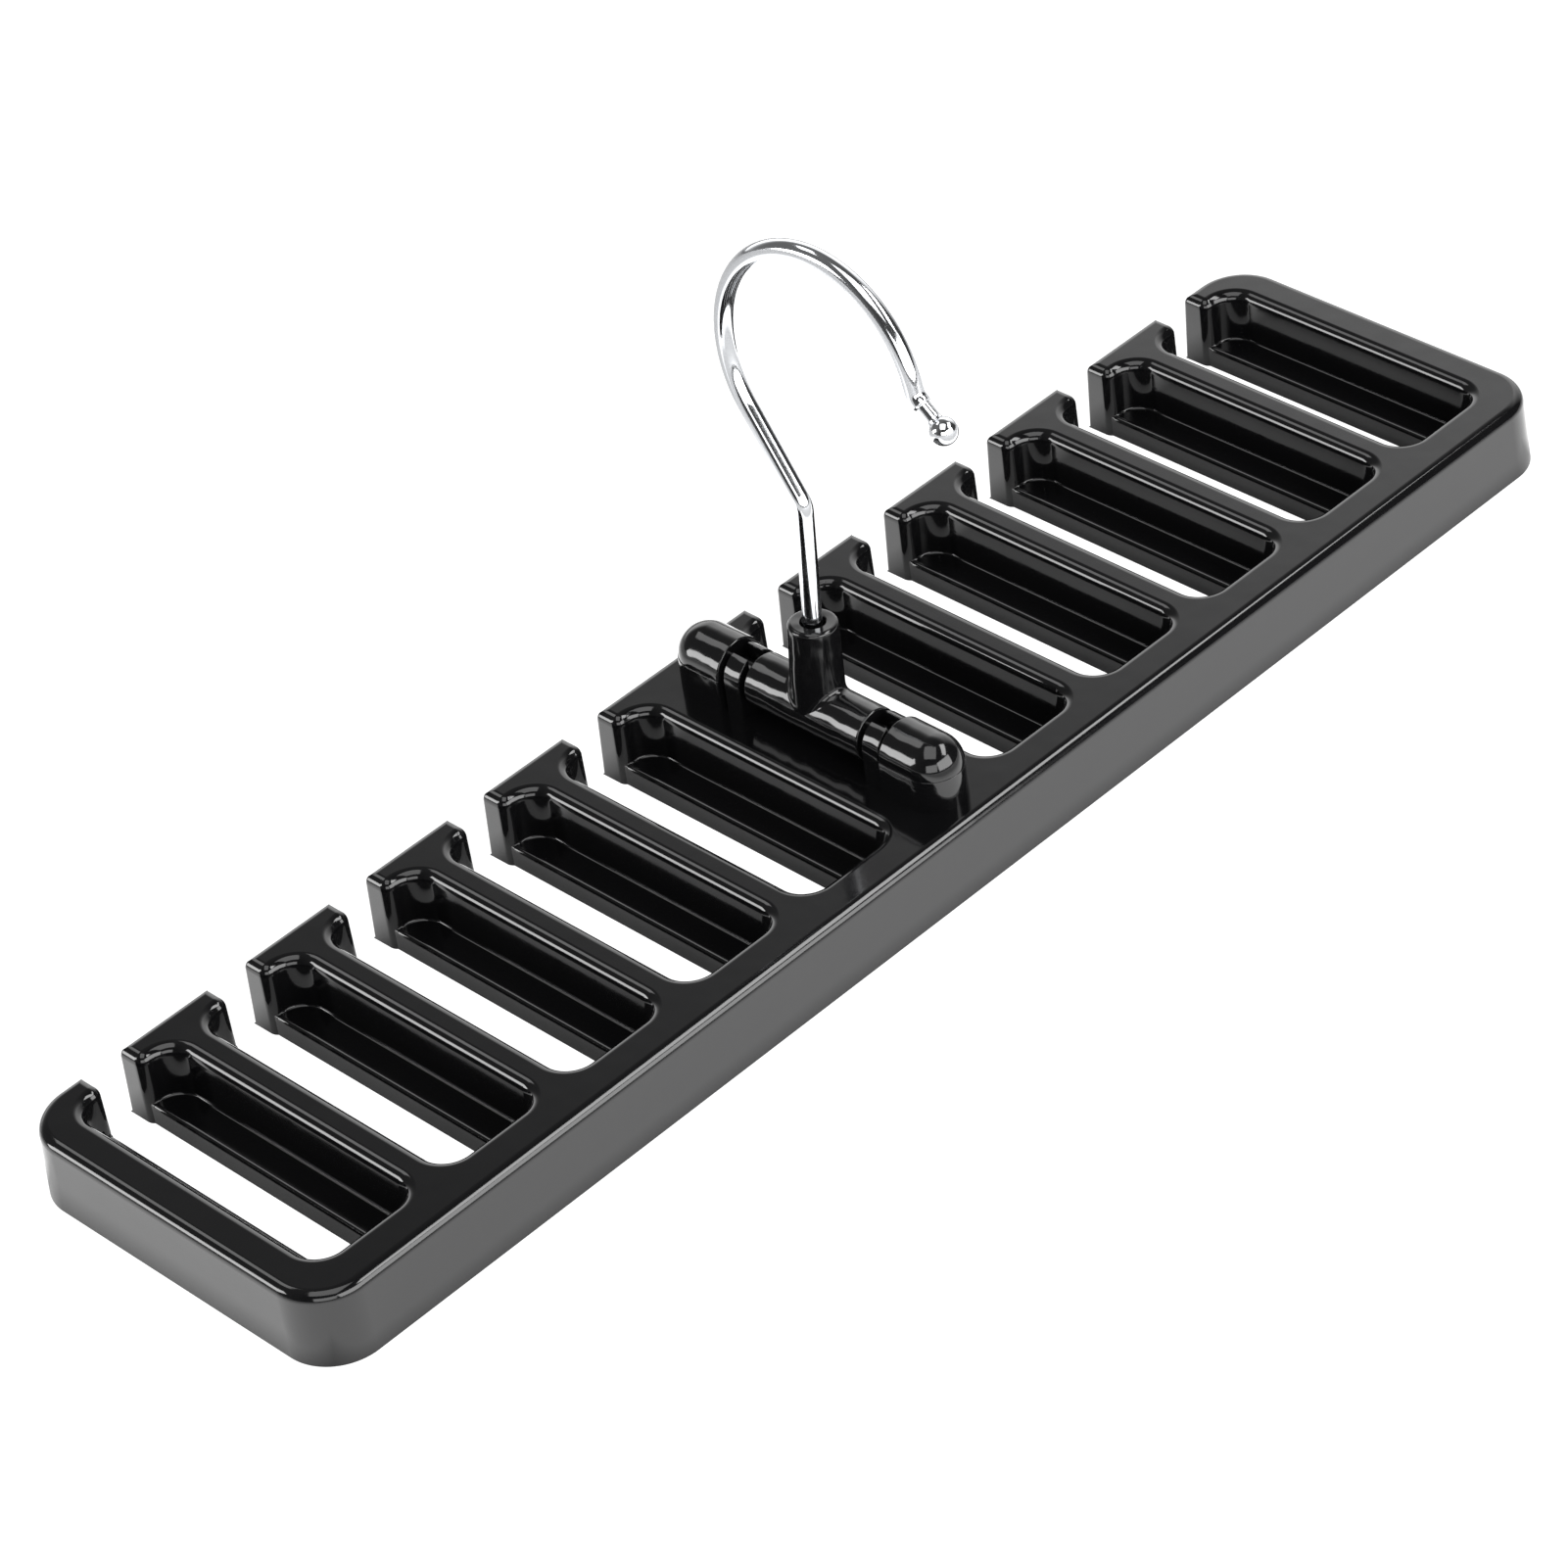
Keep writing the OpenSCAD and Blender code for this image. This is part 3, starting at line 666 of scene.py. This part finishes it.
def chrome_wire():
    """Bright nickel-chrome plating on drawn steel wire: nearly a mirror, with the faint
    unevenness that drawing and bending leave and plating keeps."""
    made, tree = new_material("chromed_drawn_wire")
    place = add(tree, "ShaderNodeTexCoord").outputs["Object"]
    # dents about 4 mm wide and at most 3 micrometres deep
    dents = add(tree, "ShaderNodeTexNoise", {"Scale": 260.0, "Detail": 2.0, "Roughness": 0.5},
                {"Vector": place})
    # clouds about 11 mm wide, where the plating is duller
    cloud = add(tree, "ShaderNodeTexNoise", {"Scale": 90.0, "Detail": 3.0, "Roughness": 0.6},
                {"Vector": place})
    rough = add(tree, "ShaderNodeMapRange",
                {"From Min": 0.3, "From Max": 0.8, "To Min": 0.08, "To Max": 0.13},
                {"Value": cloud.outputs["Fac"]})
    bump = add(tree, "ShaderNodeBump", {"Strength": 1.0, "Distance": 0.000003},
               {"Height": dents.outputs["Fac"]})
    shader = add(tree, "ShaderNodeBsdfPrincipled", {"Base Color": colour("#e3e5e8"), "Metallic": 1.0},
                 {"Roughness": rough.outputs["Result"], "Normal": bump.outputs["Normal"]})
    add(tree, "ShaderNodeOutputMaterial", links={"Surface": shader.outputs["BSDF"]})
    return made


def zinc_washer():
    """Zinc-plated steel, stamped from strip: dull bluish grey with fine rolling lines."""
    made, tree = new_material("zinc_plated_steel")
    place = add(tree, "ShaderNodeTexCoord").outputs["Object"]
    # rolling lines about 0.17 mm apart and 3 mm long
    stretched = add(tree, "ShaderNodeMapping", {"Scale": (300.0, 6000.0, 300.0)}, {"Vector": place})
    lines = add(tree, "ShaderNodeTexNoise", {"Scale": 1.0, "Detail": 3.0},
                {"Vector": stretched.outputs["Vector"]})
    rough = add(tree, "ShaderNodeMapRange", {"To Min": 0.28, "To Max": 0.45},
                {"Value": lines.outputs["Fac"]})
    bump = add(tree, "ShaderNodeBump", {"Strength": 0.4, "Distance": 0.00001},
               {"Height": lines.outputs["Fac"]})
    shader = add(tree, "ShaderNodeBsdfPrincipled", {"Base Color": colour("#a9aeb4"), "Metallic": 1.0},
                 {"Roughness": rough.outputs["Result"], "Normal": bump.outputs["Normal"]})
    add(tree, "ShaderNodeOutputMaterial", links={"Surface": shader.outputs["BSDF"]})
    return made


# ---------- pieces ----------

gloss = black_plastic("moulded_black_abs", "#0b0b0c", 0.07, 1.0)
tee_gloss = black_plastic("moulded_black_abs_tee", "#0d0d0e", 0.09, 1.2)

rack = Surface()
rack_shell(rack)
rack_underside(rack)
for end in (1, -1):
    rack_post(rack, end)
    rack_clip(rack, end)
tee = Surface()
tee_barrel(tee)
tee_socket(tee)
hook = Surface()
hook_surface(hook)
washer = Surface()
washer_surface(washer)

for shape, name, body, node, material in (
        (rack, "rack_moulding", "rack", "rack", gloss),
        (tee, "tee_moulding", "tee", "swivel_tee", tee_gloss),
        (hook, "hook_of_wire", "hook", "hook_wire", chrome_wire()),
        (washer, "stamped_washer", "hook", "retaining_washer", zinc_washer())):
    piece = shape.make(name, material)
    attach(piece, body)
    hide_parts(node)


# ---------- floor, light and camera ----------

def floor():
    """A plain white table. The photograph shows it pure white with no shadow, so the camera
    sees an even glow. The pieces see a pale sheet that takes light, plus a painted pool of
    light round the rack and a painted shadow under it, where the real rack shades the table."""
    made, tree = new_material("white_table")
    place = add(tree, "ShaderNodeTexCoord").outputs["Object"]
    parts = add(tree, "ShaderNodeSeparateXYZ", links={"Vector": place})
    # metres outside the rack's rectangle, below 0 inside it
    far = []
    for axis, half in (("X", RACK_L / 2), ("Y", RACK_D / 2)):
        size = add(tree, "ShaderNodeMath", {"operation": "ABSOLUTE"}, {0: parts.outputs[axis]})
        far.append(add(tree, "ShaderNodeMath", {"operation": "SUBTRACT", 1: half * MM},
                       {0: size.outputs["Value"]}).outputs["Value"])
    out = add(tree, "ShaderNodeMath", {"operation": "MAXIMUM"}, {0: far[0], 1: far[1]})
    # painted shadow: the glow falls to 0.06 of full inside the rack's rectangle and rises to full 4 mm
    # outside it
    painted_shadow_under_rack = add(tree, "ShaderNodeMapRange",
               {"From Min": -0.003, "From Max": 0.004, "To Min": 0.06, "To Max": 1.0},
               {"Value": out.outputs["Value"]})
    # painted pool of light: the glow is 1.28 up to 25 mm from the rack and fades out by 80 mm
    painted_light_pool = add(tree, "ShaderNodeMapRange",
                {"From Min": 0.025, "From Max": 0.08, "To Min": 1.28, "To Max": 0.0},
                {"Value": out.outputs["Value"]})
    # painted shadow times painted pool of light, the emission strength that the pieces see
    level = add(tree, "ShaderNodeMath", {"operation": "MULTIPLY"},
                {0: painted_shadow_under_rack.outputs["Result"], 1: painted_light_pool.outputs["Result"]})
    # painted light and shadow on the table, seen only by the pieces and not by the camera
    glow = add(tree, "ShaderNodeEmission", {"Color": colour("#ffffff")},
               {"Strength": level.outputs["Value"]})
    sheet = add(tree, "ShaderNodeBsdfDiffuse", {"Color": colour("#cccccc")})
    both = add(tree, "ShaderNodeAddShader", links={0: glow.outputs["Emission"], 1: sheet.outputs["BSDF"]})
    even = add(tree, "ShaderNodeEmission", {"Color": colour("#ffffff"), "Strength": 1.2})
    seen = add(tree, "ShaderNodeLightPath").outputs["Is Camera Ray"]
    mixed = add(tree, "ShaderNodeMixShader",
                links={0: seen, 1: both.outputs["Shader"], 2: even.outputs["Emission"]})
    add(tree, "ShaderNodeOutputMaterial", links={"Surface": mixed.outputs["Shader"]})
    mesh = bpy.data.meshes.new("floor")
    half, drop = 6.0, 0.0002
    corners = [(-half, -half, -drop), (half, -half, -drop), (half, half, -drop), (-half, half, -drop)]
    mesh.from_pydata(corners, [], [(0, 1, 2, 3)])
    mesh.materials.append(made)
    obj = bpy.data.objects.new("floor", mesh)
    bpy.context.scene.collection.objects.link(obj)
    obj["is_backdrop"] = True


def soft_light(name, place, size, radiance, roll=0.0):
    """A rectangular softbox at place that faces the rack, rolled about its own axis by
    roll degrees. Its power is radiance times pi times its area."""
    light = bpy.data.lights.new(name, "AREA")
    light.shape, light.size, light.size_y = "RECTANGLE", size[0], size[1]
    light.energy = radiance * math.pi * size[0] * size[1]
    turn = (-Vector(place)).to_track_quat("-Z", "Y") @ Quaternion((0.0, 0.0, 1.0), math.radians(roll))
    obj = bpy.data.objects.new(name, light)
    obj.location, obj.rotation_euler = place, turn.to_euler()
    bpy.context.scene.collection.objects.link(obj)


def studio():
    """A dim room with a white backdrop behind and to the right, brightest near the table.

    The level is the cube of a ramp along (0.8, 0, -1) and a little more, times a ramp
    that fades out towards the front, and a faint even level over all."""
    world = bpy.data.worlds.new("studio")
    bpy.context.scene.world = world
    world.use_nodes = True
    tree = world.node_tree
    tree.nodes.clear()
    way = add(tree, "ShaderNodeTexCoord").outputs["Generated"]
    low_right = add(tree, "ShaderNodeVectorMath",
                    {"operation": "DOT_PRODUCT", 1: (0.8, 0.0, -1.0)}, {0: way})
    ramp = add(tree, "ShaderNodeMapRange",
               {"From Min": -0.5, "From Max": 0.0, "To Min": 0.0, "To Max": 1.0},
               {"Value": low_right.outputs["Value"]})
    cube = add(tree, "ShaderNodeMath", {"operation": "POWER", 1: 3.0}, {0: ramp.outputs["Result"]})
    card = add(tree, "ShaderNodeMath", {"operation": "ADD", 1: 0.06}, {0: cube.outputs["Value"]})
    parts = add(tree, "ShaderNodeSeparateXYZ", links={"Vector": way})
    behind = add(tree, "ShaderNodeMapRange",
                 {"From Min": -0.2, "From Max": 0.4, "To Min": 0.0, "To Max": 1.7},
                 {"Value": parts.outputs["Y"]})
    glow = add(tree, "ShaderNodeMath", {"operation": "MULTIPLY_ADD", 2: 0.05},
               {0: card.outputs["Value"], 1: behind.outputs["Result"]})
    back = add(tree, "ShaderNodeBackground", {"Color": colour("#ffffff")},
               {"Strength": glow.outputs["Value"]})
    add(tree, "ShaderNodeOutputWorld", links={"Surface": back.outputs["Background"]})


def photo_camera():
    """The camera as worked out from the photograph: place, and its right, up and back axes."""
    right = (0.692968, -0.711277, -0.117816)
    up = (0.507546, 0.365216, 0.780394)
    back = (-0.512048, -0.600584, 0.614089)
    place = (-0.523651, -0.602183, 0.625741)
    data = bpy.data.cameras.new("camera")
    data.lens, data.sensor_width = 132.37, 36.0
    data.clip_start, data.clip_end = 0.05, 50.0
    obj = bpy.data.objects.new("camera", data)
    obj.matrix_world = Matrix([[right[i], up[i], back[i], place[i]] for i in range(3)] + [[0, 0, 0, 1]])
    bpy.context.scene.collection.objects.link(obj)
    bpy.context.scene.camera = obj


floor()
studio()
soft_light("back_strip", (-0.13, 0.84, 1.12), (0.48, 0.35), 2.3)
soft_light("left_box", (-1.12, 0.85, 0.37), (0.9, 0.35), 9.0, 50)
soft_light("top_box", (-0.33, -0.25, 1.2), (0.85, 1.0), 2.2)
soft_light("front_box", (0.1, -1.35, 0.5), (1.5, 0.8), 5.5)
soft_light("front_left_box", (-1.0, -0.95, 0.42), (0.9, 0.6), 3.0)
soft_light("front_strip", (0.62, -0.64, 1.05), (0.9, 0.35), 8.0, 20)
photo_camera()
bpy.context.scene.view_settings.view_transform = "Standard"

seen_box = [list(corner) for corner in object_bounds()]
boxes = {"cad": cad_box, "visual": seen_box}
{name: [list(map(float, corner)) for corner in box] for name, box in boxes.items()}
